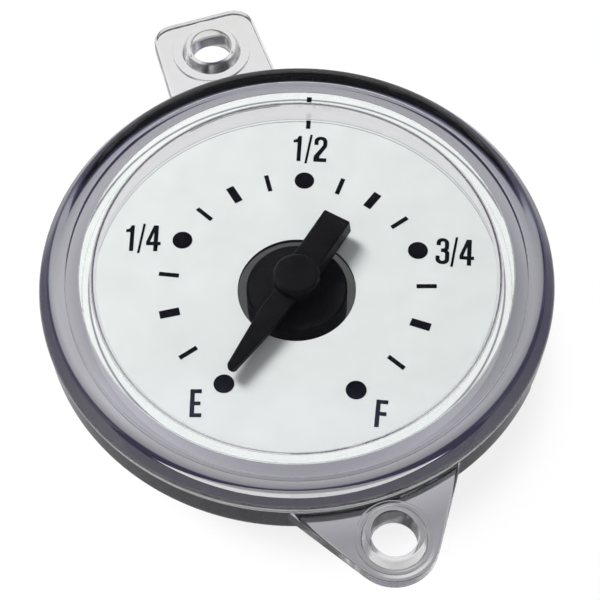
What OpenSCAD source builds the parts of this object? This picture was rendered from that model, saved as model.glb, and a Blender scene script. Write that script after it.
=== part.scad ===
// Fuel sight gauge: a clear round capsule with two screw ears, a printed dial and a
// magnet-driven needle. Millimetres. +Z points out of the dial face, +Y to 12 o'clock.
// The origin is on the needle's axis, in the plane of the capsule's flat back.

/* [Case] */
// Outside radius of the case wall, below the lens rim
wall_r = 24.95; // [24.6:0.05:25.05]
// Inside radius of the case wall, where the lens skirt drops in
wall_in_r = 21.1; // [21.1:0.05:21.4]
// Height of the case wall, from the flat back to the joint with the lens rim
wall_h = 4.9; // [4.6:0.1:5.2]
// Outside radius of the tongue that stands up from the wall, inside the lens rim
tongue_r = 22.4; // [22:0.1:23]
// Height of the tongue's top above the flat back
tongue_top_z = 6.15; // [5.6:0.05:6.15]
// Thickness of the case floor under the dial
floor_t = 1.7; // [1.4:0.1:1.8]
// Radius that rounds the outer edge of the flat back
back_edge_r = 1.8; // [0.6:0.1:2.4]
// Outside radius of the magnet well, which is also the spigot that locates the capsule
well_r = 7.6; // [7.2:0.1:8.5]
// Inside radius of the magnet well
well_in_r = 6.2; // [5.9:0.1:6.4]
// How far the well stands out behind the flat back
well_depth = 4; // [3.6:0.1:5]
// Thickness of the well's end wall
well_end_t = 1.4; // [1.2:0.1:1.6]
// Chamfer round the well's end
well_chamfer = 0.4; // [0.2:0.1:0.6]
// Clock angle of the middle of the notch in the case wall, in degrees
notch_clock = 106; // [100:1:112]
// Width of the notch in the case wall, in degrees
notch_sweep = 14; // [8:1:18]
// Depth of the notch in the case wall
notch_depth = 0.7; // [0.4:0.1:1]

/* [Ears] */
// Clock angle of the square ear, in degrees
ear_clock = -21.2; // [-24:0.2:-18]
// Distance of the square ear's hole from the needle's axis
square_hole_d = 29.7; // [29.2:0.1:30.4]
// Distance of the pointed ear's hole from the needle's axis
pointed_hole_d = 28.75; // [28.4:0.05:29.4]
// Radius of the screw holes
hole_r = 2.15; // [1.8:0.05:2.3]
// Height of the ears' underside above the flat back
ear_z = 2.6; // [2.2:0.1:2.8]
// Thickness of an ear's plate
ear_t = 1.8; // [1.4:0.1:2]
// Half width of the square ear where it leaves the case
square_root_w = 5.8; // [5.6:0.1:6.4]
// Half width of the square ear near its end
square_end_w = 5.4; // [5:0.05:5.5]
// Distance of the square ear's end from the needle's axis
square_end_d = 34.7; // [34.2:0.1:35.5]
// Corner radius of the square ear's end
square_corner_r = 2.2; // [1.5:0.1:3]
// Radius of the pointed ear's tip, round its hole
tip_r = 4.15; // [3.85:0.05:4.6]
// Half width of the pointed ear where it leaves the case
pointed_root_w = 9; // [8:0.1:9.6]
// Radius of the low round pad under the square ear's collar
pad_r = 4.1; // [3.8:0.1:4.2]
// Radius of the low round pad under the pointed ear's collar
pointed_pad_r = 3.6; // [3.4:0.1:3.8]
// Height of the round pad above the ear's plate
pad_h = 0.3; // [0.1:0.05:0.5]
// Radius of the collar's foot
collar_foot_r = 3.2; // [3:0.1:3.6]
// Radius of the collar's rim
collar_rim_r = 2.6; // [2.5:0.05:2.9]
// Height of the collar above its pad
collar_h = 0.7; // [0.4:0.1:1]

/* [Lens] */
// Greatest outside radius of the lens
lens_r = 25.05; // [25.05:0.05:25.4]
// Height of the lens's flat outer face above the flat back
lens_top_z = 7.2; // [7.2:0.05:7.8]
// Radius at which the flat outer face turns down into the sloped shoulder
ridge_r = 23.8; // [23.2:0.1:24.2]
// Radius that rounds the turn between the flat face and the shoulder
ridge_round = 1.2; // [0.4:0.1:1.4]
// Height at which the sloped shoulder meets the upright side of the rim
side_top_z = 5.5; // [5.4:0.1:5.9]
// Radius that rounds the turn between the shoulder and the upright side
side_round = 0.8; // [0.3:0.1:1]
// Thickness of the window
window_t = 1; // [0.8:0.05:1]
// Inside radius of the lens skirt
skirt_in_r = 20.1; // [19.6:0.1:20.3]
// Outside radius of the lens skirt
skirt_r = 21; // [20.8:0.05:21.05]
// Fillet between the window and the skirt, inside
skirt_fillet = 0.2; // [0.1:0.05:0.5]
// Air gap between the tongue and the lens rim
rim_gap = 0.05; // [0.02:0.01:0.1]

/* [Dial] */
// Radius of the dial plate
dial_r = 21; // [20.5:0.1:21]
// Thickness of the dial plate
dial_t = 0.5; // [0.3:0.1:0.5]
// Radius of the hole in the dial plate
dial_hole_r = 5.85; // [5.6:0.05:6]
// How far the stamped hole sits below the needle's axis
dial_hole_drop = 0.25; // [0:0.05:0.3]
// Radius of the ring on which the scale marks lie, at their middles
scale_r = 12.8; // [12.6:0.1:13.2]
// Radius of the dots at empty, quarter, half, three quarters and full
dot_r = 1; // [0.8:0.05:1.1]
// Length of a scale stroke
stroke_l = 2; // [1.6:0.1:2.4]
// Width of a thin scale stroke
thin_w = 0.45; // [0.3:0.05:0.6]
// Width of a thick scale stroke
thick_w = 0.85; // [0.7:0.05:1]
// Inner end of the setting line at the dial's edge
edge_line_r = 19.4; // [19:0.1:19.8]
// Length of the setting line, whose outer end lies under the lens skirt
edge_line_l = 0.95; // [0.6:0.05:1.4]
// Thickness of the printed ink
ink_t = 0.03; // [0.02:0.01:0.05]

/* [Needle] */
// Clock angle of the needle at rest, pointing at empty, in degrees
rest_clock = -150.8; // [-152:0.2:-149]
// Height of the needle's underside above the dial
needle_z = 0.9; // [0.7:0.1:1.2]
// Thickness of the needle
needle_t = 0.85; // [0.7:0.05:1.1]
// Distance of the needle's tip from its axis
needle_l = 11.75; // [11:0.05:11.9]
// Half width of the needle's round tip
needle_tip_r = 0.45; // [0.4:0.05:0.6]
// Half width of the needle at its root
needle_root_w = 1.2; // [1:0.05:1.8]
// Thickness of the counterweight tail
tail_t = 1.6; // [1.3:0.1:1.7]
// Distance of the tail's end from the needle's axis
tail_l = 7.95; // [7.4:0.05:8.4]
// Half width of the tail at its upper face
tail_w = 1.45; // [1.2:0.05:1.7]
// How much wider each side of the tail is at its lower face
tail_draft = 0.2; // [0:0.05:0.3]
// How far the tail leans out of line with the needle, in degrees
tail_lean = -1.9; // [-3:0.1:0]
// Radius of the hub's boss
hub_r = 2.3; // [2.2:0.05:2.6]
// Height of the hub's top above the dial
hub_h = 2.7; // [2.55:0.05:2.75]
// Radius that rounds the hub's upper edge
hub_edge_r = 0.3; // [0.15:0.05:0.4]
// Radius of the hub's stem, on which the magnet is pressed
stem_r = 2; // [1.8:0.1:2.1]

/* [Magnet and pivot] */
// Radius of the magnet
magnet_r = 5; // [4.8:0.05:5.2]
// Thickness of the magnet
magnet_t = 4; // [3.6:0.1:4]
// Chamfer on the magnet's edges
magnet_chamfer = 0.2; // [0.1:0.05:0.3]
// Radius of the pivot pin
pin_r = 0.5; // [0.4:0.05:0.5]
// Radial clearance of the guide bush on the pin
pin_gap = 0.05; // [0.02:0.01:0.08]
// Depth to which the pin is pressed into the well's end wall
pin_root = 0.8; // [0.6:0.1:0.9]
// Radius of the bearing cup and of the guide bush
cup_r = 1.1; // [1:0.05:1.2]
// Thickness of the bearing cup
cup_t = 1; // [0.9:0.1:1.1]
// Length of the guide bush
bush_l = 2; // [1.5:0.1:2.4]

/* [Hidden] */
$fn = 96;
eps = 0.01;
arc_steps = 8;
clear_plastic = [0.86, 0.87, 0.9, 0.35];
// The two ears lie on one line through the needle's axis
pointed_clock = ear_clock + 180;
dial_top = floor_t + dial_t;
// The ears' roots run in under the wall's outside, so that they join it all across
ear_root_y = 22.5;
// Clock angles of the scale marks on one side of 12 o'clock: the scale isn't even,
// because the needle follows a float arm that swings
dot_clocks = [0, 67.4, 150.4];
thin_clocks = [16.7, 50.5, 86.5, 128.3];
thick_clocks = [33.4, 106.4];
// Plastic left between the pin's boss and the turning stem
end_play = 0.2;
pin_boss_r = 1.8;
well_floor_z = well_end_t - well_depth;
magnet_z = dial_top - magnet_t;
pin_boss_h = magnet_z - end_play - well_floor_z;
hub_top = dial_top + hub_h;
hub_roof_t = 0.4;
cup_top = hub_top - hub_roof_t;
cup_z = cup_top - cup_t;
cup_mouth_r = 0.8;
cup_seat_r = 0.15;
cup_seat_depth = 0.6;
// The pin's point stops just short of the seat in the cup
pin_point_gap = 0.05;
pin_point_r = 0.1;
pin_point_l = 0.8;
pin_top = cup_z + cup_seat_depth - pin_point_gap;

// Puts its children at a clock angle, seen from the front, with their +Y outwards
module at_clock(angle) {
    rotate([0, 0, -angle])
        children();
}

// Points along an arc, or a quarter ellipse, about a centre
function arc(centre, radii, from, to) = [
    for (i = [0 : arc_steps])
        let (a = from + (to - from) * i / arc_steps)
            [centre[0] + radii[0] * cos(a), centre[1] + radii[1] * sin(a)]
];

// Points that round a corner of a profile between its two neighbours
function round_corner(before, corner, after, r) =
    let (
        back = (before - corner) / norm(before - corner),
        on = (after - corner) / norm(after - corner),
        half = acos(back * on) / 2,
        centre = corner + (back + on) / norm(back + on) * r / sin(half),
        start = corner + back * r / tan(half) - centre,
        end = corner + on * r / tan(half) - centre,
        from = atan2(start[1], start[0]),
        turn = atan2(end[1], end[0]) - from,
        sweep = turn > 180 ? turn - 360 : turn < -180 ? turn + 360 : turn
    )
    arc(centre, [r, r], from, from + sweep);

// A pie slice that covers a sweep of clock angle, out to a radius
module slice(r, sweep) {
    polygon([
        [0, 0],
        [-r * sin(sweep / 2), r * cos(sweep / 2)],
        [r * sin(sweep / 2), r * cos(sweep / 2)]
    ]);
}

// Half section of the case: floor, wall with its rounded back edge, and the tongue
// that stands up from the wall to locate the lens
module case_section() {
    polygon(concat(
        [[0, 0]],
        arc([wall_r - back_edge_r, back_edge_r], [back_edge_r, back_edge_r], -90, 0),
        [[wall_r, wall_h], [tongue_r, wall_h], [tongue_r, tongue_top_z]],
        [[wall_in_r, tongue_top_z], [wall_in_r, floor_t], [0, floor_t]]
    ));
}

// Outline of the ear with a square end and rounded corners
module square_ear_outline() {
    end = square_end_d - square_corner_r;
    side = square_end_w - square_corner_r;
    polygon([
        [-square_root_w, ear_root_y],
        [-square_end_w, end],
        [-side, square_end_d],
        [side, square_end_d],
        [square_end_w, end],
        [square_root_w, ear_root_y]
    ]);
    for (x = [-side, side])
        translate([x, end])
            circle(r = square_corner_r);
}

// Outline of the ear that narrows to a round tip about its hole: its straight sides
// run from the case to the points where they touch the tip's circle
module pointed_ear_outline() {
    run = pointed_hole_d - ear_root_y;
    reach = norm([run, pointed_root_w]);
    turn = atan2(pointed_root_w, run) - asin(tip_r / reach);
    touch_x = tip_r * cos(turn);
    touch_y = pointed_hole_d + tip_r * sin(turn);
    polygon([
        [-pointed_root_w, ear_root_y],
        [-touch_x, touch_y],
        [touch_x, touch_y],
        [pointed_root_w, ear_root_y]
    ]);
    translate([0, pointed_hole_d])
        circle(r = tip_r);
}

// The low pad and the sloped collar that a screw head bears on
module ear_collar(hole_d, low_pad_r) {
    translate([0, hole_d, ear_z + ear_t - eps])
        cylinder(r = low_pad_r, h = pad_h + eps);
    translate([0, hole_d, ear_z + ear_t + pad_h - eps])
        cylinder(r1 = collar_foot_r, r2 = collar_rim_r, h = collar_h + eps);
}

module ear_hole(hole_d) {
    translate([0, hole_d, ear_z - 1])
        cylinder(r = hole_r, h = ear_t + pad_h + collar_h + 2);
}

// Clear moulded back: floor, wall, magnet well and both screw ears in one piece
module case_back() {
    color(clear_plastic)
        difference() {
            union() {
                rotate_extrude()
                    case_section();
                translate([0, 0, well_chamfer - well_depth])
                    cylinder(r = well_r, h = well_depth - well_chamfer + eps);
                translate([0, 0, -well_depth])
                    cylinder(r1 = well_r - well_chamfer, r2 = well_r, h = well_chamfer + eps);
                at_clock(ear_clock) {
                    translate([0, 0, ear_z])
                        linear_extrude(ear_t)
                            square_ear_outline();
                    ear_collar(square_hole_d, pad_r);
                }
                at_clock(pointed_clock) {
                    translate([0, 0, ear_z])
                        linear_extrude(ear_t)
                            pointed_ear_outline();
                    ear_collar(pointed_hole_d, pointed_pad_r);
                }
            }
            difference() {
                translate([0, 0, well_floor_z])
                    cylinder(r = well_in_r, h = well_depth + floor_t);
                translate([0, 0, well_floor_z - 1])
                    cylinder(r = pin_boss_r, h = pin_boss_h + 1);
            }
            translate([0, 0, well_floor_z - pin_root])
                cylinder(r = pin_r, h = well_depth);
            at_clock(ear_clock)
                ear_hole(square_hole_d);
            at_clock(pointed_clock)
                ear_hole(pointed_hole_d);
            at_clock(notch_clock)
                linear_extrude(ear_z)
                    difference() {
                        slice(2 * wall_r, notch_sweep);
                        circle(r = wall_r - notch_depth);
                    }
        }
}

// Half section of the lens: flat window, skirt with its inside fillet, the groove over
// the wall's tongue, and the rim with its sloped shoulder
module lens_section() {
    underside_z = lens_top_z - window_t;
    fillet_x = skirt_in_r - skirt_fillet;
    fillet_z = underside_z - skirt_fillet;
    rim_in_r = tongue_r + rim_gap;
    centre_top = [0, lens_top_z];
    ridge = [ridge_r, lens_top_z];
    side_top = [lens_r, side_top_z];
    rim_foot = [lens_r, wall_h];
    polygon(concat(
        [centre_top, [0, underside_z]],
        arc([fillet_x, fillet_z], [skirt_fillet, skirt_fillet], 90, 0),
        [[skirt_in_r, dial_top + ink_t], [skirt_r, dial_top + ink_t], [skirt_r, underside_z]],
        [[rim_in_r, underside_z], [rim_in_r, wall_h], rim_foot],
        round_corner(rim_foot, side_top, ridge, side_round),
        round_corner(side_top, ridge, centre_top, ridge_round)
    ));
}

// Clear moulded lens: its skirt traps the dial, and its rim sits on the case wall
module lens_cover() {
    color(clear_plastic)
        rotate_extrude()
            lens_section();
}

// White-finished sheet metal dial, held down by the lens skirt
module dial_plate() {
    color([0.91, 0.92, 0.91])
        translate([0, 0, floor_t])
            difference() {
                cylinder(r = dial_r, h = dial_t);
                translate([0, -dial_hole_drop, -1])
                    cylinder(r = dial_hole_r, h = dial_t + 2);
            }
}

// One printed stroke, centred on the scale ring
module stroke(width) {
    translate([-width / 2, scale_r - stroke_l / 2])
        square([width, stroke_l]);
}

// The scale, printed in black ink: dots, strokes and the setting line at 12 o'clock
module dial_marks() {
    color([0.05, 0.05, 0.08])
        translate([0, 0, dial_top])
            linear_extrude(ink_t) {
                for (side = [-1, 1]) {
                    for (angle = dot_clocks)
                        at_clock(side * angle)
                            translate([0, scale_r])
                                circle(r = dot_r);
                    for (angle = thin_clocks)
                        at_clock(side * angle)
                            stroke(thin_w);
                    for (angle = thick_clocks)
                        at_clock(side * angle)
                            stroke(thick_w);
                }
                translate([-thin_w / 2, edge_line_r])
                    square([thin_w, edge_line_l]);
            }
}

// Steel pin that the needle turns on, pressed into the well and pointed at its top
module pivot_pin() {
    color([0.72, 0.73, 0.75]) {
        translate([0, 0, well_floor_z - pin_root])
            cylinder(r = pin_r, h = pin_top - pin_point_l - well_floor_z + pin_root + eps);
        translate([0, 0, pin_top - pin_point_l])
            cylinder(r1 = pin_r, r2 = pin_point_r, h = pin_point_l);
    }
}

// Outline of the needle blade, with a round tip
module needle_outline() {
    tip_y = needle_l - needle_tip_r;
    polygon([
        [-needle_root_w, 0],
        [-needle_root_w, 2 * hub_r],
        [-needle_tip_r, tip_y],
        [needle_tip_r, tip_y],
        [needle_root_w, 2 * hub_r],
        [needle_root_w, 0]
    ]);
    translate([0, tip_y])
        circle(r = needle_tip_r);
}

// The counterweight tail: a straight bar with sloping sides
module tail_bar() {
    rotate([90, 0, 0])
        linear_extrude(tail_l)
            polygon([
                [-tail_w - tail_draft, 0],
                [-tail_w, tail_t],
                [tail_w, tail_t],
                [tail_w + tail_draft, 0]
            ]);
}

// Half section of the hub: stem, boss and rounded upper edge
module hub_section() {
    translate([0, magnet_z])
        square([stem_r, magnet_t + eps]);
    translate([0, dial_top])
        square([hub_r, hub_h - hub_edge_r]);
    square_top = hub_top - hub_edge_r;
    translate([0, square_top - eps])
        square([hub_r - hub_edge_r, hub_edge_r + eps]);
    translate([hub_r - hub_edge_r, square_top])
        circle(r = hub_edge_r);
}

// Black moulded pointer: hub with its stem, needle blade and counterweight tail
module pointer() {
    color([0.06, 0.06, 0.06])
        difference() {
            union() {
                rotate_extrude()
                    hub_section();
                at_clock(rest_clock) {
                    translate([0, 0, dial_top + needle_z])
                        linear_extrude(needle_t)
                            needle_outline();
                    translate([0, 0, dial_top + needle_z])
                        at_clock(tail_lean)
                            tail_bar();
                }
            }
            translate([0, 0, magnet_z - 1])
                cylinder(r = cup_r, h = cup_top - magnet_z + 1);
        }
}

// Black ferrite ring magnet, pressed on the pointer's stem
module magnet() {
    color([0.12, 0.12, 0.13])
        translate([0, 0, magnet_z])
            difference() {
                union() {
                    cylinder(r1 = magnet_r - magnet_chamfer, r2 = magnet_r, h = magnet_chamfer);
                    translate([0, 0, magnet_chamfer])
                        cylinder(r = magnet_r, h = magnet_t - 2 * magnet_chamfer);
                    translate([0, 0, magnet_t - magnet_chamfer])
                        cylinder(r1 = magnet_r, r2 = magnet_r - magnet_chamfer, h = magnet_chamfer);
                }
                translate([0, 0, -1])
                    cylinder(r = stem_r, h = magnet_t + 2);
            }
}

// Glass bearing cup: the pin's point runs in its conical seat
module bearing_cup() {
    color([0.75, 0.2, 0.28])
        translate([0, 0, cup_z])
            difference() {
                cylinder(r = cup_r, h = cup_t);
                translate([0, 0, -eps])
                    cylinder(r1 = cup_mouth_r, r2 = cup_seat_r, h = cup_seat_depth + eps);
            }
}

// Brass bush that keeps the stem's lower end upright on the pin
module guide_bush() {
    color([0.8, 0.65, 0.3])
        translate([0, 0, magnet_z])
            difference() {
                cylinder(r = cup_r, h = bush_l);
                translate([0, 0, -1])
                    cylinder(r = pin_r + pin_gap, h = bush_l + 2);
            }
}

case_back();
lens_cover();
dial_plate();
dial_marks();
pivot_pin();
pointer();
magnet();
bearing_cup();
guide_bush();
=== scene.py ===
import math

import bpy
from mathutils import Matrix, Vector


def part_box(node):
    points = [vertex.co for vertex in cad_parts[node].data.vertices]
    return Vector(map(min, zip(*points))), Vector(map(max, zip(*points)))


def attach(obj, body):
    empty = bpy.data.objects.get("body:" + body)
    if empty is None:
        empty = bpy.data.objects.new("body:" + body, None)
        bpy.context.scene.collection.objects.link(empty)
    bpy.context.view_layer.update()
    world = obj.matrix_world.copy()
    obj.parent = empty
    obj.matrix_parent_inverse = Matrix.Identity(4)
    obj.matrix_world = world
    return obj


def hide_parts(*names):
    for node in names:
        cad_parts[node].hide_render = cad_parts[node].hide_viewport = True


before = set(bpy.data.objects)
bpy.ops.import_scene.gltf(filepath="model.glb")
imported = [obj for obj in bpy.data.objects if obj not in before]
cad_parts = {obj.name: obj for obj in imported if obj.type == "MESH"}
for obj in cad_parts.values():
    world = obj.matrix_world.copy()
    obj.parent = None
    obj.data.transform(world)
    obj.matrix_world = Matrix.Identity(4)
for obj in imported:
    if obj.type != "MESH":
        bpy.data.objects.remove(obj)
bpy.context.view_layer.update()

# The photograph's camera: a portrait lens above the lower edge of the dial, turned a
# little to the right. Its place and turn come from the dial's marks and the screw holes.
camera_place = (0.00702, -0.08685, 0.14629)
camera_turn = (30.80, 0.63, 3.38)
camera_lens_mm = 102.1

bpy.ops.object.camera_add(
    location=camera_place,
    rotation=[math.radians(angle) for angle in camera_turn],
)
camera = bpy.context.object
camera.data.lens = camera_lens_mm
camera.data.sensor_width = 36.0
bpy.context.scene.camera = camera

# The clear back: floor, thick wall with a low tongue on its inner half, magnet well and
# both screw ears are one moulding in polycarbonate. It is drawn in millimetres: the wall
# and the well are turned, the ears are plates with a turned collar round each hole.
wall_r = 24.95
wall_in_r = 21.1
wall_top = 4.92
tongue_r = 22.4
tongue_top = 6.15
floor_t = 1.7
well_r = 7.6
well_in_r = 6.2
well_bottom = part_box("case_back")[0].z * 1000
well_floor = well_bottom + 1.4
pin_boss = (1.8, well_floor + 0.6)
back_edge_round = 1.8
small_round = 0.25
notch_clock = 106
notch_sweep = 14
notch_depth = 0.7
ear_clock = -21.2
ear_bottom = 2.6
ear_top = 4.4
ear_round = 0.3
hole_r = 2.15
square_hole = 29.7
square_end = 34.67
square_half = 5.4
square_root_half = 5.8
square_corner = 2.2
pointed_hole = 28.75
pointed_tip_r = 4.15
pointed_root_half = 9.0
ear_root = 22.5
square_pad_r = 4.1
square_pad_round = 0.12
pointed_pad_r = 3.6
pointed_pad_round = 0.2
pad_top = 4.7
collar_foot_r = 3.2
collar_rim_r = 2.6
collar_top = 5.4
ring_steps = 192


def show_only(piece):
    bpy.ops.object.select_all(action="DESELECT")
    piece.select_set(True)
    bpy.context.view_layer.objects.active = piece


def rounded(corners):
    """The outline through the corners (x, y, radius), each with its arc."""
    points = []
    for i, (x, y, radius) in enumerate(corners):
        corner = Vector((x, y))
        if radius == 0:
            points.append(corner)
            continue
        before = (Vector(corners[i - 1][:2]) - corner).normalized()
        after = (Vector(corners[(i + 1) % len(corners)][:2]) - corner).normalized()
        half = before.angle(after) / 2
        centre = corner + (before + after).normalized() * radius / math.sin(half)
        start = corner + before * radius / math.tan(half) - centre
        sweep = start.angle_signed(corner + after * radius / math.tan(half) - centre)
        steps = max(2, round(abs(math.degrees(sweep)) / 8))
        for step in range(steps + 1):
            turn = -sweep * step / steps
            points.append(centre + Vector((
                start.x * math.cos(turn) - start.y * math.sin(turn),
                start.x * math.sin(turn) + start.y * math.cos(turn),
            )))
    return points


def drawn(name, points, closed=False):
    """A line of edges through points (x, 0, z), extruded from one vertex."""
    bpy.ops.object.select_all(action="DESELECT")
    bpy.ops.mesh.primitive_plane_add(size=1)
    piece = bpy.context.object
    piece.name = name
    bpy.ops.object.mode_set(mode="EDIT")
    bpy.ops.mesh.select_all(action="SELECT")
    bpy.ops.mesh.merge(type="CENTER")
    bpy.ops.transform.translate(value=(points[0].x, 0, points[0].y))
    for here, there in zip(points, points[1:] + points[:1] * closed):
        move = (there.x - here.x, 0, there.y - here.y)
        bpy.ops.mesh.extrude_region_move(TRANSFORM_OT_translate={"value": move})
    return piece


def turned(name, corners, closed=False, steps=ring_steps):
    """A shell turned about Z from half an outline of (radius, height, rounding)."""
    piece = drawn(name, rounded(corners), closed)
    bpy.ops.mesh.select_all(action="SELECT")
    bpy.ops.mesh.spin(steps=steps, angle=2 * math.pi, center=(0, 0, 0), axis=(0, 0, 1))
    bpy.ops.mesh.select_all(action="SELECT")
    bpy.ops.mesh.remove_doubles(threshold=0.0005)
    bpy.ops.mesh.normals_make_consistent(inside=False)
    bpy.ops.object.mode_set(mode="OBJECT")
    return piece


def placed_at_clock(piece, clock, distance=0.0):
    """Moves the piece out along +Y, then turns it to a clock angle."""
    show_only(piece)
    bpy.ops.object.mode_set(mode="EDIT")
    bpy.ops.mesh.select_all(action="SELECT")
    bpy.ops.transform.translate(value=(0, distance, 0))
    bpy.ops.object.mode_set(mode="OBJECT")
    piece.rotation_euler.z = -math.radians(clock)
    bpy.ops.object.transform_apply(location=False, rotation=True, scale=False)


def plate(name, corners, low, high, edge_round):
    """A flat plate with the outline of the corners (x, y, radius) and rounded rims."""
    piece = drawn(name, rounded(corners), closed=True)
    bpy.ops.mesh.select_all(action="SELECT")
    bpy.ops.mesh.remove_doubles(threshold=0.0005)
    bpy.ops.mesh.edge_face_add()
    bpy.ops.object.mode_set(mode="OBJECT")
    piece.rotation_euler.x = math.radians(-90)
    bpy.ops.object.transform_apply(location=False, rotation=True, scale=False)
    bpy.ops.object.mode_set(mode="EDIT")
    bpy.ops.mesh.select_all(action="SELECT")
    bpy.ops.transform.translate(value=(0, 0, low))
    bpy.ops.mesh.extrude_region_move(TRANSFORM_OT_translate={"value": (0, 0, high - low)})
    bpy.ops.mesh.select_all(action="SELECT")
    bpy.ops.mesh.normals_make_consistent(inside=False)
    bpy.ops.mesh.select_all(action="DESELECT")
    bpy.ops.object.mode_set(mode="OBJECT")
    if edge_round:
        for edge in piece.data.edges:
            a, b = (piece.data.vertices[i].co for i in edge.vertices)
            edge.select = abs(a.z - b.z) < 0.001
        bpy.ops.object.mode_set(mode="EDIT")
        bpy.ops.mesh.select_mode(type="EDGE")
        bpy.ops.mesh.bevel(offset=edge_round, segments=4, affect="EDGES")
        bpy.ops.mesh.select_mode(type="VERT")
        bpy.ops.object.mode_set(mode="OBJECT")
    return piece


def joined(piece, tool, operation):
    """Unites the piece with the tool, or cuts the tool out of it."""
    show_only(piece)
    modifier = piece.modifiers.new("join", "BOOLEAN")
    modifier.operation = operation
    modifier.solver = "EXACT"
    modifier.object = tool
    bpy.ops.object.modifier_apply(modifier="join")
    bpy.data.objects.remove(tool)


def finished(piece, body, material, stands_for=(), smooth_angle=35):
    """Gives the piece its material, smooth shading and metres, and ties it to its body."""
    show_only(piece)
    piece.data.materials.clear()
    piece.data.materials.append(material)
    bpy.ops.object.shade_smooth_by_angle(angle=math.radians(smooth_angle))
    weighted = piece.modifiers.new("weighted", "WEIGHTED_NORMAL")
    weighted.keep_sharp = True
    bpy.ops.object.modifier_apply(modifier="weighted")
    piece.scale = (0.001, 0.001, 0.001)
    bpy.ops.object.transform_apply(location=False, rotation=False, scale=True)
    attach(piece, body)
    if stands_for:
        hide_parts(*stands_for)


def srgb(text):
    """A colour written as sRGB hex, in the linear light that the shaders use."""
    channels = [int(text[i:i + 2], 16) / 255 for i in (1, 3, 5)]
    return [c / 12.92 if c <= 0.04045 else ((c + 0.055) / 1.055) ** 2.4 for c in channels] + [1.0]


def add_node(tree, kind, settings, links=()):
    """Adds a node, sets its sockets or options by name and links its inputs."""
    node = tree.nodes.new(kind)
    for name, value in dict(settings).items():
        if name in node.inputs:
            node.inputs[name].default_value = value
        else:
            setattr(node, name, value)
    for name, socket in dict(links).items():
        tree.links.new(socket, node.inputs[name])
    return node


def new_material(name):
    material = bpy.data.materials.new(name)
    material.use_nodes = True
    material.node_tree.nodes.clear()
    return material, material.node_tree


# Clear moulded polycarbonate: glass-clear, and bright and dark by turns where the thick
# rim bends the view. The ears are a little duller than the capsule. Lamp light goes
# straight through it, so that the dial and the paper behind it are lit as evenly as the
# real ones.
ears_begin = 0.0252
ears_dull = 0.0262
ear_roughness = 0.16
clear_polycarbonate, tree = new_material("clear moulded polycarbonate")
place = add_node(tree, "ShaderNodeTexCoord", {})
ripple = add_node(
    tree, "ShaderNodeTexNoise", {"Scale": 180.0, "Detail": 2.0},
    {"Vector": place.outputs["Object"]},
)
bump = add_node(
    tree, "ShaderNodeBump", {"Strength": 0.04, "Distance": 0.0004},
    {"Height": ripple.outputs["Fac"]},
)
on_level = add_node(
    tree, "ShaderNodeVectorMath", {"operation": "MULTIPLY"}, {0: place.outputs["Object"]},
)
on_level.inputs[1].default_value = (1, 1, 0)
from_axis = add_node(
    tree, "ShaderNodeVectorMath", {"operation": "LENGTH"}, {0: on_level.outputs["Vector"]},
)
dull_ears = add_node(
    tree, "ShaderNodeMapRange",
    {"From Min": ears_begin, "From Max": ears_dull, "To Max": ear_roughness},
    {"Value": from_axis.outputs["Value"]},
)
clear = add_node(
    tree, "ShaderNodeBsdfPrincipled",
    {"Base Color": srgb("#FDFDFE"), "IOR": 1.585, "Transmission Weight": 1.0},
    {"Roughness": dull_ears.outputs["Result"], "Normal": bump.outputs["Normal"]},
)
light_path = add_node(tree, "ShaderNodeLightPath", {})
lamp_ray = add_node(tree, "ShaderNodeMath", {"operation": "MAXIMUM"})
tree.links.new(light_path.outputs["Is Shadow Ray"], lamp_ray.inputs[0])
tree.links.new(light_path.outputs["Is Diffuse Ray"], lamp_ray.inputs[1])
passing = add_node(tree, "ShaderNodeBsdfTransparent", {"Color": srgb("#FFFFFF")})
mix = add_node(tree, "ShaderNodeMixShader", {}, {"Fac": lamp_ray.outputs["Value"]})
tree.links.new(clear.outputs["BSDF"], mix.inputs[1])
tree.links.new(passing.outputs["BSDF"], mix.inputs[2])
add_node(tree, "ShaderNodeOutputMaterial", {}, {"Surface": mix.outputs["Shader"]})

clear_back = turned("clear_back", [
    (0, pin_boss[1], 0),
    (pin_boss[0], pin_boss[1], 0.1),
    (pin_boss[0], well_floor, 0.2),
    (well_in_r, well_floor, 0.4),
    (well_in_r, floor_t, small_round),
    (wall_in_r, floor_t, 0.1),
    (wall_in_r, tongue_top, 0.05),
    (tongue_r, tongue_top, 0.05),
    (tongue_r, wall_top, 0.03),
    (wall_r, wall_top, 0.05),
    (wall_r, 0, back_edge_round),
    (well_r, 0, 0.3),
    (well_r, well_bottom, 0.4),
    (0, well_bottom, 0),
])

square_ear = plate("square_ear", [
    (-square_root_half, ear_root, 0),
    (square_root_half, ear_root, 0),
    (square_half, square_end, square_corner),
    (-square_half, square_end, square_corner),
], ear_bottom, ear_top, ear_round)

tip_reach = math.hypot(pointed_hole - ear_root, pointed_root_half)
tip_turn = math.atan2(pointed_root_half, pointed_hole - ear_root)
tip_turn -= math.asin(pointed_tip_r / tip_reach)
tip_x = pointed_tip_r * math.tan(math.pi / 4 - tip_turn / 2)
pointed_end = pointed_hole + pointed_tip_r
pointed_ear = plate("pointed_ear", [
    (-pointed_root_half, ear_root, 0),
    (pointed_root_half, ear_root, 0),
    (tip_x, pointed_end, pointed_tip_r),
    (-tip_x, pointed_end, pointed_tip_r),
], ear_bottom, ear_top, ear_round)

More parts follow.
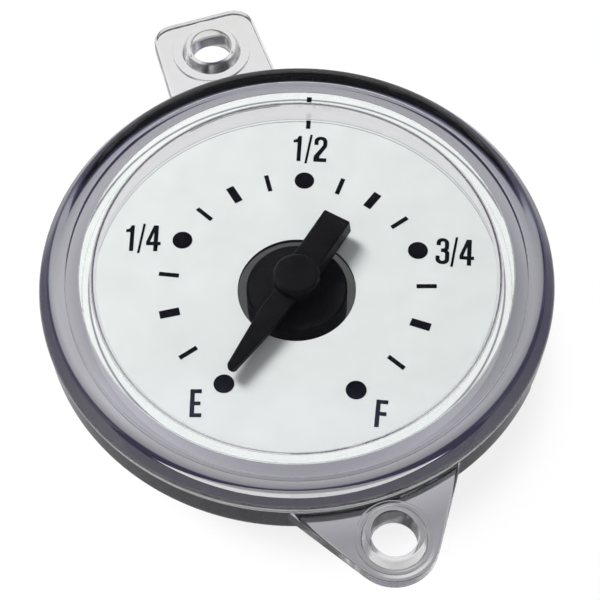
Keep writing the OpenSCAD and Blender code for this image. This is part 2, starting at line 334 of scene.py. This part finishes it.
for ear, clock, distance, pad_r, pad_round in (
    (square_ear, ear_clock, square_hole, square_pad_r, square_pad_round),
    (pointed_ear, ear_clock + 180, pointed_hole, pointed_pad_r, pointed_pad_round),
):
    placed_at_clock(ear, clock)
    bore_r = pad_r - 0.4
    bore = turned("bore", [(0, 9, 0), (bore_r, 9, 0), (bore_r, 1, 0), (0, 1, 0)])
    placed_at_clock(bore, clock, distance)
    joined(ear, bore, "DIFFERENCE")
    collar = turned("collar", [
        (pad_r, ear_bottom + 0.01, 0.02),
        (pad_r, pad_top, pad_round),
        (collar_foot_r, pad_top, 0.2),
        (collar_rim_r, collar_top, 0.2),
        (hole_r, collar_top, 0.15),
        (hole_r, ear_bottom + 0.01, 0.15),
    ], closed=True, steps=96)
    placed_at_clock(collar, clock, distance)
    joined(ear, collar, "UNION")
    if ear is pointed_ear:
        joined(clear_back, ear, "UNION")
    else:
        # A hair off the wall, so that the wall's dark line runs past this ear.
        core_r = wall_r + 0.01
        core = turned("core", [(0, 6, 0), (core_r, 6, 0), (core_r, 1, 0), (0, 1, 0)])
        joined(ear, core, "DIFFERENCE")
        show_only(ear)
        clear_back.select_set(True)
        bpy.context.view_layer.objects.active = clear_back
        bpy.ops.object.join()

# The low edge of the wall is notched at one place, where the moulding was freed.
notch = turned("notch", [
    (wall_r - notch_depth, -0.5, 0),
    (wall_r + 1, -0.5, 0),
    (wall_r + 1, ear_bottom, 0),
    (wall_r - notch_depth, ear_bottom, 0.2),
], closed=True)
keep_half = 40 * math.tan(math.radians(notch_sweep / 2))
keep = plate("keep", [(0, 0, 0), (keep_half, 40, 0), (-keep_half, 40, 0)], -1, 5, 0)
placed_at_clock(keep, notch_clock)
joined(notch, keep, "INTERSECT")
joined(clear_back, notch, "DIFFERENCE")
finished(clear_back, "capsule", clear_polycarbonate, ["case_back"])

# The lens: a flat window with a rounded ridge round it, a groove over the wall's tongue
# and a skirt that reaches down inside the wall to the dial. It is moulded in the same
# polycarbonate and welded to the back at the rim.
lens_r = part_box("lens_cover")[1].x * 1000
lens_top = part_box("lens_cover")[1].z * 1000
skirt_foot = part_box("dial_plate")[1].z * 1000 - 0.02
rim_foot = 4.9
side_top = 5.5
window_t = 1.0
underside = lens_top - window_t
skirt_in_r = 20.0
skirt_foot_in_r = 20.3
ridge_r = 23.8
ridge_round = 1.4
side_round = 1.0
window_fillet = 0.75
skirt_r = 21.0
rim_in_r = tongue_r + 0.05
lens = turned("lens", [
    (0, lens_top, 0),
    (ridge_r, lens_top, ridge_round),
    (lens_r, side_top, side_round),
    (lens_r, rim_foot, 0.1),
    (rim_in_r, rim_foot, 0.03),
    (rim_in_r, underside, 0.05),
    (skirt_r, underside, 0.05),
    (skirt_r, skirt_foot, 0.1),
    (skirt_foot_in_r, skirt_foot, 0.05),
    (skirt_in_r, underside, window_fillet),
    (0, underside, 0),
])
finished(lens, "capsule", clear_polycarbonate, ["lens_cover"])

# The dial: a disc of aluminium sheet with white enamel on its face, faintly cloudy and
# dull. Its cut edge and its back are bare metal. Where the lens's skirt stands on it a thin
# grey ring of painted shadow is drawn, and beyond that a faint painted glow stands in for
# the light that gathers there. It is the imported solid, with its finish.
dial_face_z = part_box("dial_plate")[1].z
enamel_t = 0.00002
# Where the painted shadow ring and the painted glow lie, in metres from the axis.
foot_shadow_from = 0.02
foot_shadow_to = 0.0208
painted_glow_from = 0.0204
painted_glow_to = 0.0205
white_enamel, tree = new_material("white enamel on aluminium")
place = add_node(tree, "ShaderNodeTexCoord", {})
spot = add_node(tree, "ShaderNodeSeparateXYZ", {}, {"Vector": place.outputs["Object"]})
on_face = add_node(
    tree, "ShaderNodeMath", {"operation": "GREATER_THAN"}, {0: spot.outputs["Z"]},
)
on_face.inputs[1].default_value = dial_face_z - enamel_t
cloud = add_node(
    tree, "ShaderNodeTexNoise", {"Scale": 260.0, "Detail": 6.0, "Roughness": 0.65},
    {"Vector": place.outputs["Object"]},
)
tone = add_node(tree, "ShaderNodeValToRGB", {}, {"Fac": cloud.outputs["Fac"]})
tone.color_ramp.elements[0].position = 0.3
tone.color_ramp.elements[0].color = srgb("#E2E7E5")
tone.color_ramp.elements[1].position = 0.7
tone.color_ramp.elements[1].color = srgb("#EBEFED")
peel = add_node(
    tree, "ShaderNodeTexNoise", {"Scale": 900.0, "Detail": 2.0},
    {"Vector": place.outputs["Object"]},
)
bump = add_node(
    tree, "ShaderNodeBump", {"Strength": 0.12, "Distance": 0.00005},
    {"Height": peel.outputs["Fac"]},
)
from_axis = add_node(
    tree, "ShaderNodeVectorMath", {"operation": "DISTANCE"}, {0: place.outputs["Object"]},
)
from_axis.inputs[1].default_value = (0, 0, dial_face_z)
# Painted shadow: a thin grey ring multiplied into the enamel colour where the skirt's foot stands.
at_skirt = add_node(
    tree, "ShaderNodeMapRange", {"From Min": foot_shadow_from, "From Max": foot_shadow_to},
    {"Value": from_axis.outputs["Value"]},
)
painted_foot_shadow = add_node(tree, "ShaderNodeValToRGB", {}, {"Fac": at_skirt.outputs["Result"]})
for stop, hue in ((0.27, "#FFFFFF"), (0.35, "#A3A1AA"), (0.47, "#A3A1AA"), (0.53, "#FFFFFF")):
    painted_foot_shadow.color_ramp.elements.new(stop).color = srgb(hue)
painted_foot_shadow.color_ramp.elements[0].color = srgb("#FFFFFF")
face = add_node(tree, "ShaderNodeMix", {"data_type": "RGBA", "blend_type": "MULTIPLY"})
face.inputs[0].default_value = 1.0
tree.links.new(tone.outputs["Color"], face.inputs[6])
tree.links.new(painted_foot_shadow.outputs["Color"], face.inputs[7])
# Painted light: the enamel beyond the skirt's foot glows faintly, for the light the skirt gathers
# there.
painted_glow = add_node(
    tree, "ShaderNodeMapRange",
    {"From Min": painted_glow_from, "From Max": painted_glow_to, "To Max": 0.05},
    {"Value": from_axis.outputs["Value"]},
)
enamel = add_node(
    tree, "ShaderNodeBsdfPrincipled",
    {"Roughness": 0.42, "IOR": 1.5, "Emission Color": srgb("#FFFFFF")},
    {
        "Base Color": face.outputs[2], "Normal": bump.outputs["Normal"],
        "Emission Strength": painted_glow.outputs["Result"],
    },
)
metal = add_node(
    tree, "ShaderNodeBsdfPrincipled",
    {"Base Color": srgb("#8E9092"), "Metallic": 1.0, "Roughness": 0.45},
)
mix = add_node(tree, "ShaderNodeMixShader", {}, {"Fac": on_face.outputs["Value"]})
tree.links.new(metal.outputs["BSDF"], mix.inputs[1])
tree.links.new(enamel.outputs["BSDF"], mix.inputs[2])
add_node(tree, "ShaderNodeOutputMaterial", {}, {"Surface": mix.outputs["Shader"]})


def dressed(node, material):
    """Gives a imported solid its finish."""
    solid = bpy.data.objects[node]
    for slot in solid.material_slots:
        slot.material = material


dressed("dial_plate", white_enamel)

# The print: one pass of blue-black screen ink on the enamel. The scale is the packed
# solid. The marks at empty, quarters and full are drawn here, each as its outline.
ink_t = 0.03
screen_ink, tree = new_material("blue-black screen printing ink")
place = add_node(tree, "ShaderNodeTexCoord", {})
grain = add_node(
    tree, "ShaderNodeTexNoise", {"Scale": 1500.0, "Detail": 3.0},
    {"Vector": place.outputs["Object"]},
)
tone = add_node(tree, "ShaderNodeValToRGB", {}, {"Fac": grain.outputs["Fac"]})
tone.color_ramp.elements[0].color = srgb("#08080E")
tone.color_ramp.elements[1].color = srgb("#12121A")
ink = add_node(
    tree, "ShaderNodeBsdfPrincipled", {"Roughness": 0.7, "IOR": 1.48, "Specular IOR Level": 0.12},
    {"Base Color": tone.outputs["Color"]},
)
add_node(tree, "ShaderNodeOutputMaterial", {}, {"Surface": ink.outputs["BSDF"]})
dressed("dial_marks", screen_ink)

# Each letter: its outlines of (x, y, rounding), in millimetres from its lower left.
one = [[(0.43, 0, 0), (0.83, 0, 0), (0.83, 3.05, 0.05), (0.5, 3.05, 0.1), (0.36, 2.66, 0.2),
        (0, 2.55, 0.03), (0, 2.24, 0.03), (0.43, 2.28, 0.05)]]
slash = [[(0, -0.25, 0), (0.24, -0.25, 0), (0.68, 3.25, 0), (0.44, 3.25, 0)]]
two = [[(0, 2.05, 0.03), (0, 3.05, 0.6), (1.33, 3.05, 0.6), (1.33, 1.9, 0.5), (0.6, 0.7, 0.15),
        (0.58, 0.42, 0.03), (1.33, 0.42, 0.03), (1.33, 0, 0.03), (0, 0, 0.03),
        (0, 0.66, 0.2), (0.91, 2.0, 0.4), (0.91, 2.68, 0.26), (0.41, 2.68, 0.24),
        (0.41, 2.05, 0.03)]]
three = [[(0.05, 2.2, 0.03), (0.05, 3.05, 0.58), (1.3, 3.05, 0.58), (1.3, 1.84, 0.3),
          (1.14, 1.63, 0.05), (1.36, 1.45, 0.28), (1.36, 0, 0.6), (0, 0, 0.6), (0, 0.95, 0.03),
          (0.41, 0.95, 0.03), (0.41, 0.37, 0.25), (0.94, 0.37, 0.25), (0.94, 1.42, 0.2),
          (0.52, 1.42, 0), (0.52, 1.82, 0), (0.89, 1.82, 0.2), (0.89, 2.68, 0.22),
          (0.46, 2.68, 0.22), (0.46, 2.2, 0.03)]]
four = [[(0.75, 0, 0.03), (1.17, 0, 0.03), (1.17, 0.7, 0), (1.45, 0.7, 0.03), (1.45, 1.08, 0.03),
         (1.17, 1.08, 0), (1.17, 3.05, 0.1), (0.68, 3.05, 0.1), (0, 1.12, 0.1), (0, 0.7, 0.05),
         (0.75, 0.7, 0)],
        [(0.36, 1.08, 0), (0.75, 1.08, 0), (0.75, 2.25, 0)]]
letter_e = [[(0, 0, 0), (1.12, 0, 0.03), (1.12, 0.42, 0.03), (0.42, 0.42, 0), (0.42, 1.3, 0),
             (1.0, 1.3, 0.03), (1.0, 1.7, 0.03), (0.42, 1.7, 0), (0.42, 2.63, 0),
             (1.08, 2.63, 0.03), (1.08, 3.05, 0.03), (0, 3.05, 0)]]
letter_f = [[(0, 0, 0.03), (0.42, 0, 0.03), (0.42, 1.3, 0), (1.05, 1.3, 0.03), (1.05, 1.7, 0.03),
             (0.42, 1.7, 0), (0.42, 2.63, 0), (1.13, 2.63, 0.03), (1.13, 3.05, 0.03), (0, 3.05, 0)]]

# The outer end of the setting line, which runs on under the skirt.
line_end = [[(-0.225, 0, 0), (0.225, 0, 0), (0.225, 0.4, 0), (-0.225, 0.4, 0)]]

# Each mark: its middle on the dial, its turn in degrees, its height against the
# letters' own, and its letters with the places of their lower left corners.
marks = [
    ((0.38, 16.8), 0, 1.04, [(one, -1.78, -1.51), (slash, -0.52, -1.51), (two, 0.4, -1.51)]),
    ((-15.75, 4.92), 2.4, 1.0, [(one, -1.8, -1.5), (slash, -0.55, -1.5), (four, 0.3, -1.5)]),
    ((15.5, 4.92), -1.2, 1.0, [(three, -1.9, -1.5), (slash, -0.4, -1.5), (four, 0.48, -1.5)]),
    ((-8.82, -13.35), 3.0, 0.97, [(letter_e, -0.55, -1.52)]),
    ((8.78, -13.52), -2.8, 0.95, [(letter_f, -0.55, -1.52)]),
    ((0, 20.3), 0, 1.0, [(line_end, 0, 0)]),
]
printed = []
for (mark_x, mark_y), turn, height, letters in marks:
    for outlines, left, foot in letters:
        curve = bpy.data.curves.new("letter", "CURVE")
        curve.dimensions = "2D"
        curve.fill_mode = "BOTH"
        curve.extrude = ink_t / 2
        for outline in outlines:
            points = rounded(outline)
            spline = curve.splines.new("POLY")
            spline.points.add(len(points) - 1)
            spline.use_cyclic_u = True
            for i, point in enumerate(points):
                spline.points[i].co = (point.x + left, (point.y + foot) * height, 0, 1)
        letter = bpy.data.objects.new("letter", curve)
        bpy.context.scene.collection.objects.link(letter)
        show_only(letter)
        bpy.ops.object.convert(target="MESH")
        letter = bpy.context.object
        letter.rotation_euler.z = math.radians(turn)
        letter.location = (mark_x, mark_y, dial_face_z * 1000 + ink_t / 2 + 0.001)
        bpy.ops.object.transform_apply(location=True, rotation=True, scale=False)
        printed.append(letter)
bpy.ops.object.select_all(action="DESELECT")
for letter in printed:
    letter.select_set(True)
bpy.context.view_layer.objects.active = printed[0]
bpy.ops.object.join()
dial_letters = bpy.context.object
dial_letters.name = "dial_letters"
finished(dial_letters, "capsule", screen_ink, smooth_angle=20)

# The pointer: hub, blade and counterweight tail moulded together in black acetal, which
# has a dull, slightly waxy skin. Its stem goes down through the magnet.
rest_clock = -150.8
dial_face = dial_face_z * 1000
pointer_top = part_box("pointer")[1].z * 1000
stem_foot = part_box("pointer")[0].z * 1000
hub_r = 2.3
stem_r = 2.0
stem_bore_r = 1.1
hub_roof = 0.4
blade_low = dial_face + 0.9
blade_t = 0.85
blade_half = 1.2
blade_tip_half = 0.45
blade_l = 11.75
tail_t = 1.6
tail_half = 1.45
tail_draft = 0.2
tail_l = 7.95
tail_lean = -1.9
pointer = turned("pointer_moulding", [
    (0, pointer_top, 0),
    (hub_r, pointer_top, 0.35),
    (hub_r, dial_face, 0.1),
    (stem_r, dial_face, 0),
    (stem_r, stem_foot, 0.1),
    (stem_bore_r, stem_foot, 0.1),
    (stem_bore_r, pointer_top - hub_roof, 0.05),
    (0, pointer_top - hub_roof, 0),
], steps=96)
blade = plate("blade", [
    (-blade_half, 0.5, 0),
    (blade_half, 0.5, 0),
    (blade_half, 2 * hub_r, 2),
    (blade_tip_half, blade_l, blade_tip_half * 0.95),
    (-blade_tip_half, blade_l, blade_tip_half * 0.95),
    (-blade_half, 2 * hub_r, 2),
], blade_low, blade_low + blade_t, 0.14)
stub_r = stem_bore_r + 0.3
stub = turned("stub", [(0, 8, 0), (stub_r, 8, 0), (stub_r, -3, 0), (0, -3, 0)])
joined(blade, stub, "DIFFERENCE")
placed_at_clock(blade, rest_clock)
joined(pointer, blade, "UNION")
tail = drawn("tail", rounded([
    (-tail_half - tail_draft, blade_low, 0.1),
    (-tail_half, blade_low + tail_t, 0.16),
    (tail_half, blade_low + tail_t, 0.16),
    (tail_half + tail_draft, blade_low, 0.1),
]), closed=True)
bpy.ops.mesh.select_all(action="SELECT")
bpy.ops.mesh.remove_doubles(threshold=0.0005)
bpy.ops.mesh.edge_face_add()
bpy.ops.transform.translate(value=(0, -1.6, 0))
bpy.ops.mesh.extrude_region_move(TRANSFORM_OT_translate={"value": (0, 1.6 - tail_l, 0)})
bpy.ops.mesh.select_all(action="SELECT")
bpy.ops.mesh.normals_make_consistent(inside=False)
bpy.ops.mesh.select_all(action="DESELECT")
bpy.ops.object.mode_set(mode="OBJECT")
for edge in tail.data.edges:
    edge.select = all(tail.data.vertices[i].co.y < 0.01 - tail_l for i in edge.vertices)
bpy.ops.object.mode_set(mode="EDIT")
bpy.ops.mesh.select_mode(type="EDGE")
bpy.ops.mesh.bevel(offset=0.14, segments=3, affect="EDGES")
bpy.ops.mesh.select_mode(type="VERT")
bpy.ops.object.mode_set(mode="OBJECT")
placed_at_clock(tail, rest_clock + tail_lean)
joined(pointer, tail, "UNION")

black_acetal, tree = new_material("black moulded acetal")
place = add_node(tree, "ShaderNodeTexCoord", {})
flow = add_node(
    tree, "ShaderNodeTexNoise", {"Scale": 420.0, "Detail": 5.0, "Roughness": 0.6},
    {"Vector": place.outputs["Object"]},
)
tone = add_node(tree, "ShaderNodeValToRGB", {}, {"Fac": flow.outputs["Fac"]})
tone.color_ramp.elements[0].position = 0.35
tone.color_ramp.elements[0].color = srgb("#0D0D0D")
tone.color_ramp.elements[1].position = 0.7
tone.color_ramp.elements[1].color = srgb("#191918")
skin = add_node(
    tree, "ShaderNodeBump", {"Strength": 0.3, "Distance": 0.00006},
    {"Height": flow.outputs["Fac"]},
)
acetal = add_node(
    tree, "ShaderNodeBsdfPrincipled", {"Roughness": 0.4, "IOR": 1.48, "Specular IOR Level": 0.22},
    {"Base Color": tone.outputs["Color"], "Normal": skin.outputs["Normal"]},
)
add_node(tree, "ShaderNodeOutputMaterial", {}, {"Surface": acetal.outputs["BSDF"]})
finished(pointer, "rotor", black_acetal, ["pointer"], smooth_angle=40)

# The ring magnet: pressed and sintered ferrite, charcoal black, ground dull all over.
ferrite, tree = new_material("sintered ferrite")
place = add_node(tree, "ShaderNodeTexCoord", {})
grain = add_node(
    tree, "ShaderNodeTexNoise", {"Scale": 1100.0, "Detail": 6.0, "Roughness": 0.7},
    {"Vector": place.outputs["Object"]},
)
tone = add_node(tree, "ShaderNodeValToRGB", {}, {"Fac": grain.outputs["Fac"]})
tone.color_ramp.elements[0].position = 0.35
tone.color_ramp.elements[0].color = srgb("#0A0A0B")
tone.color_ramp.elements[1].position = 0.75
tone.color_ramp.elements[1].color = srgb("#1B1B1C")
pits = add_node(
    tree, "ShaderNodeBump", {"Strength": 0.35, "Distance": 0.00005},
    {"Height": grain.outputs["Fac"]},
)
ground = add_node(
    tree, "ShaderNodeBsdfPrincipled", {"Roughness": 0.55, "IOR": 2.2, "Specular IOR Level": 0.08},
    {"Base Color": tone.outputs["Color"], "Normal": pits.outputs["Normal"]},
)
add_node(tree, "ShaderNodeOutputMaterial", {}, {"Surface": ground.outputs["BSDF"]})
dressed("magnet", ferrite)

# The pivot: a ground steel pin in the well's floor, a ruby glass cup that it carries,
# and a turned brass bush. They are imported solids, out of sight inside the hub.
ground_steel, tree = new_material("ground steel")
place = add_node(tree, "ShaderNodeTexCoord", {})
rings = add_node(
    tree, "ShaderNodeTexWave", {"bands_direction": "Z", "Scale": 3000.0, "Distortion": 1.0},
    {"Vector": place.outputs["Object"]},
)
shine = add_node(
    tree, "ShaderNodeMapRange", {"To Min": 0.18, "To Max": 0.3}, {"Value": rings.outputs["Fac"]},
)
steel = add_node(
    tree, "ShaderNodeBsdfPrincipled", {"Base Color": srgb("#B4B6B8"), "Metallic": 1.0},
    {"Roughness": shine.outputs["Result"]},
)
add_node(tree, "ShaderNodeOutputMaterial", {}, {"Surface": steel.outputs["BSDF"]})
dressed("pivot_pin", ground_steel)

ruby_glass, tree = new_material("ruby bearing glass")
place = add_node(tree, "ShaderNodeTexCoord", {})
cloud = add_node(
    tree, "ShaderNodeTexNoise", {"Scale": 1400.0, "Detail": 3.0},
    {"Vector": place.outputs["Object"]},
)
tone = add_node(tree, "ShaderNodeValToRGB", {}, {"Fac": cloud.outputs["Fac"]})
tone.color_ramp.elements[0].color = srgb("#8E1230")
tone.color_ramp.elements[1].color = srgb("#B02445")
ruby = add_node(
    tree, "ShaderNodeBsdfPrincipled", {"Roughness": 0.08, "IOR": 1.76},
    {"Base Color": tone.outputs["Color"]},
)
add_node(tree, "ShaderNodeOutputMaterial", {}, {"Surface": ruby.outputs["BSDF"]})
dressed("bearing_cup", ruby_glass)

turned_brass, tree = new_material("turned brass")
place = add_node(tree, "ShaderNodeTexCoord", {})
rings = add_node(
    tree, "ShaderNodeTexWave", {"bands_direction": "Z", "Scale": 2500.0, "Distortion": 1.5},
    {"Vector": place.outputs["Object"]},
)
tone = add_node(tree, "ShaderNodeValToRGB", {}, {"Fac": rings.outputs["Fac"]})
tone.color_ramp.elements[0].color = srgb("#B08E4C")
tone.color_ramp.elements[1].color = srgb("#CDAA62")
brass = add_node(
    tree, "ShaderNodeBsdfPrincipled", {"Metallic": 1.0, "Roughness": 0.3},
    {"Base Color": tone.outputs["Color"]},
)
add_node(tree, "ShaderNodeOutputMaterial", {}, {"Surface": brass.outputs["BSDF"]})
dressed("guide_bush", turned_brass)

# The studio: white paper under the capsule, a big and a small lamp high on the left and
# behind, and a dark tent with a lighter patch low at the back. The clear plastic sees the
# paper with shade painted into its colour by distance from the axis: the capsule's own
# shadow under and round it, and dark far out for the dark room; and it sees the tent round
# it, so that its edges come out dark as in the photograph. Straight to the camera the
# paper is nearly even white.
floor_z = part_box("case_back")[0].z
deep_shade_reach = 0.04
edge_shade_from = 0.0268
edge_shade_to = 0.048
tent_r = 0.8
lamp_place = (-0.32, 0.3, 0.45)
bpy.ops.object.select_all(action="DESELECT")
bpy.ops.mesh.primitive_plane_add(size=4, location=(0, 0, floor_z))
floor = bpy.context.object
floor.name = "studio_floor"
white_paper, tree = new_material("white studio paper in the shade of the capsule")
place = add_node(tree, "ShaderNodeTexCoord", {})
narrowed = add_node(
    tree, "ShaderNodeVectorMath", {"operation": "MULTIPLY"}, {0: place.outputs["Object"]},
)
# The deep shade is a little wider across than along and lies off the middle.
narrowed.inputs[1].default_value = (0.95, 1, 1)
from_middle = add_node(
    tree, "ShaderNodeVectorMath", {"operation": "DISTANCE"}, {0: narrowed.outputs["Vector"]},
)
from_middle.inputs[1].default_value = (0, 0.004, 0)
# Painted shadow: the paper is dark under the dial and grey round the capsule.
deep = add_node(
    tree, "ShaderNodeMapRange", {"From Max": deep_shade_reach},
    {"Value": from_middle.outputs["Value"]},
)
deep_shade = add_node(tree, "ShaderNodeValToRGB", {}, {"Fac": deep.outputs["Result"]})
for stop, hue in (
    (0.24, "#636463"), (0.3, "#464258"), (0.5, "#464258"),
    (0.515, "#A2A2AA"), (0.57, "#C4C3C7"), (0.64, "#C4C3C7"),
):
    deep_shade.color_ramp.elements.new(stop).color = srgb(hue)
deep_shade.color_ramp.elements[0].color = srgb("#636463")
deep_shade.color_ramp.elements[-1].color = srgb("#A2A1A4")
deep_shade.color_ramp.elements[-1].position = 0.72
from_axis = add_node(
    tree, "ShaderNodeVectorMath", {"operation": "DISTANCE"}, {0: place.outputs["Object"]},
)
from_axis.inputs[1].default_value = (0, -0.001, 0)
# Painted shade: the paper is pale just beyond the capsule and turns dark far out, for the dark
# room.
out = add_node(
    tree, "ShaderNodeMapRange", {"From Min": edge_shade_from, "From Max": edge_shade_to},
    {"Value": from_axis.outputs["Value"]},
)
edge_shade = add_node(tree, "ShaderNodeValToRGB", {}, {"Fac": out.outputs["Result"]})
for stop, hue in ((0.1, "#ECEBED"), (0.7, "#E8E8E6")):
    edge_shade.color_ramp.elements.new(stop).color = srgb(hue)
edge_shade.color_ramp.elements[0].color = srgb("#000000")
edge_shade.color_ramp.elements[-1].color = srgb("#2A2838")
shade = add_node(tree, "ShaderNodeMix", {"data_type": "RGBA", "blend_type": "LIGHTEN"})
shade.inputs[0].default_value = 1.0
tree.links.new(deep_shade.outputs["Color"], shade.inputs[6])
tree.links.new(edge_shade.outputs["Color"], shade.inputs[7])
light_path = add_node(tree, "ShaderNodeLightPath", {})
tint = add_node(tree, "ShaderNodeMix", {"data_type": "RGBA"})
tree.links.new(light_path.outputs["Is Camera Ray"], tint.inputs[0])
tree.links.new(shade.outputs[2], tint.inputs[6])
tint.inputs[7].default_value = srgb("#FFFFFF")
paper = add_node(tree, "ShaderNodeBsdfDiffuse", {}, {"Color": tint.outputs[2]})
glow = add_node(tree, "ShaderNodeEmission", {"Strength": 1.0}, {"Color": tint.outputs[2]})
mix = add_node(tree, "ShaderNodeMixShader", {"Fac": 0.8})
tree.links.new(paper.outputs["BSDF"], mix.inputs[1])
tree.links.new(glow.outputs["Emission"], mix.inputs[2])
add_node(tree, "ShaderNodeOutputMaterial", {}, {"Surface": mix.outputs["Shader"]})
floor.data.materials.append(white_paper)

bpy.ops.object.select_all(action="DESELECT")
bpy.ops.mesh.primitive_uv_sphere_add(radius=tent_r, segments=64, ring_count=32)
tent = bpy.context.object
tent.name = "dark_tent"
dark_cloth, tree = new_material("dark studio cloth")
place = add_node(tree, "ShaderNodeTexCoord", {})
from_back = add_node(
    tree, "ShaderNodeVectorMath", {"operation": "DISTANCE"}, {0: place.outputs["Object"]},
)
from_back.inputs[1].default_value = (0, tent_r, 0.1)
shade = add_node(tree, "ShaderNodeValToRGB", {}, {"Fac": from_back.outputs["Value"]})
for stop, hue in ((0.6, "#2A2A34"), (0.756, "#2A2A34"), (0.77, "#8A8AB2"), (0.86, "#8A8AB2")):
    shade.color_ramp.elements.new(stop).color = srgb(hue)
shade.color_ramp.elements[0].position = 0.35
shade.color_ramp.elements[0].color = srgb("#D8D6CC")
shade.color_ramp.elements[-1].position = 0.9
shade.color_ramp.elements[-1].color = srgb("#28282F")
cloth = add_node(tree, "ShaderNodeEmission", {"Strength": 1.0}, {"Color": shade.outputs["Color"]})
add_node(tree, "ShaderNodeOutputMaterial", {}, {"Surface": cloth.outputs["Emission"]})
tent.data.materials.append(dark_cloth)
tent.visible_camera = False
tent.visible_diffuse = False
tent.visible_shadow = False

# The big lamp makes the light and the soft shadows, the small one the thin highlights.
for name, width, power in (("soft lamp", 0.3, 3.9), ("small lamp", 0.1, 0.4)):
    lamp_data = bpy.data.lights.new(name, "AREA")
    lamp_data.shape = "DISK"
    lamp_data.size = width
    lamp_data.energy = power
    lamp = bpy.data.objects.new(name, lamp_data)
    bpy.context.scene.collection.objects.link(lamp)
    lamp.location = lamp_place
    lamp.rotation_euler = (Vector((0, 0, 0)) - lamp.location).to_track_quat("-Z", "Y").to_euler()
    lamp.visible_transmission = False
    lamp.visible_glossy = name == "small lamp"

world = bpy.data.worlds.new("studio room")
bpy.context.scene.world = world
world.use_nodes = True
tree = world.node_tree
tree.nodes.clear()
light_path = add_node(tree, "ShaderNodeLightPath", {})
room = add_node(tree, "ShaderNodeBackground", {"Color": srgb("#FFFFFF"), "Strength": 0.35})
white = add_node(tree, "ShaderNodeBackground", {"Color": srgb("#FFFFFF"), "Strength": 1.0})
mix = add_node(tree, "ShaderNodeMixShader", {}, {"Fac": light_path.outputs["Is Camera Ray"]})
tree.links.new(room.outputs["Background"], mix.inputs[1])
tree.links.new(white.outputs["Background"], mix.inputs[2])
add_node(tree, "ShaderNodeOutputWorld", {}, {"Surface": mix.outputs["Shader"]})

bpy.context.scene.view_settings.view_transform = "Standard"
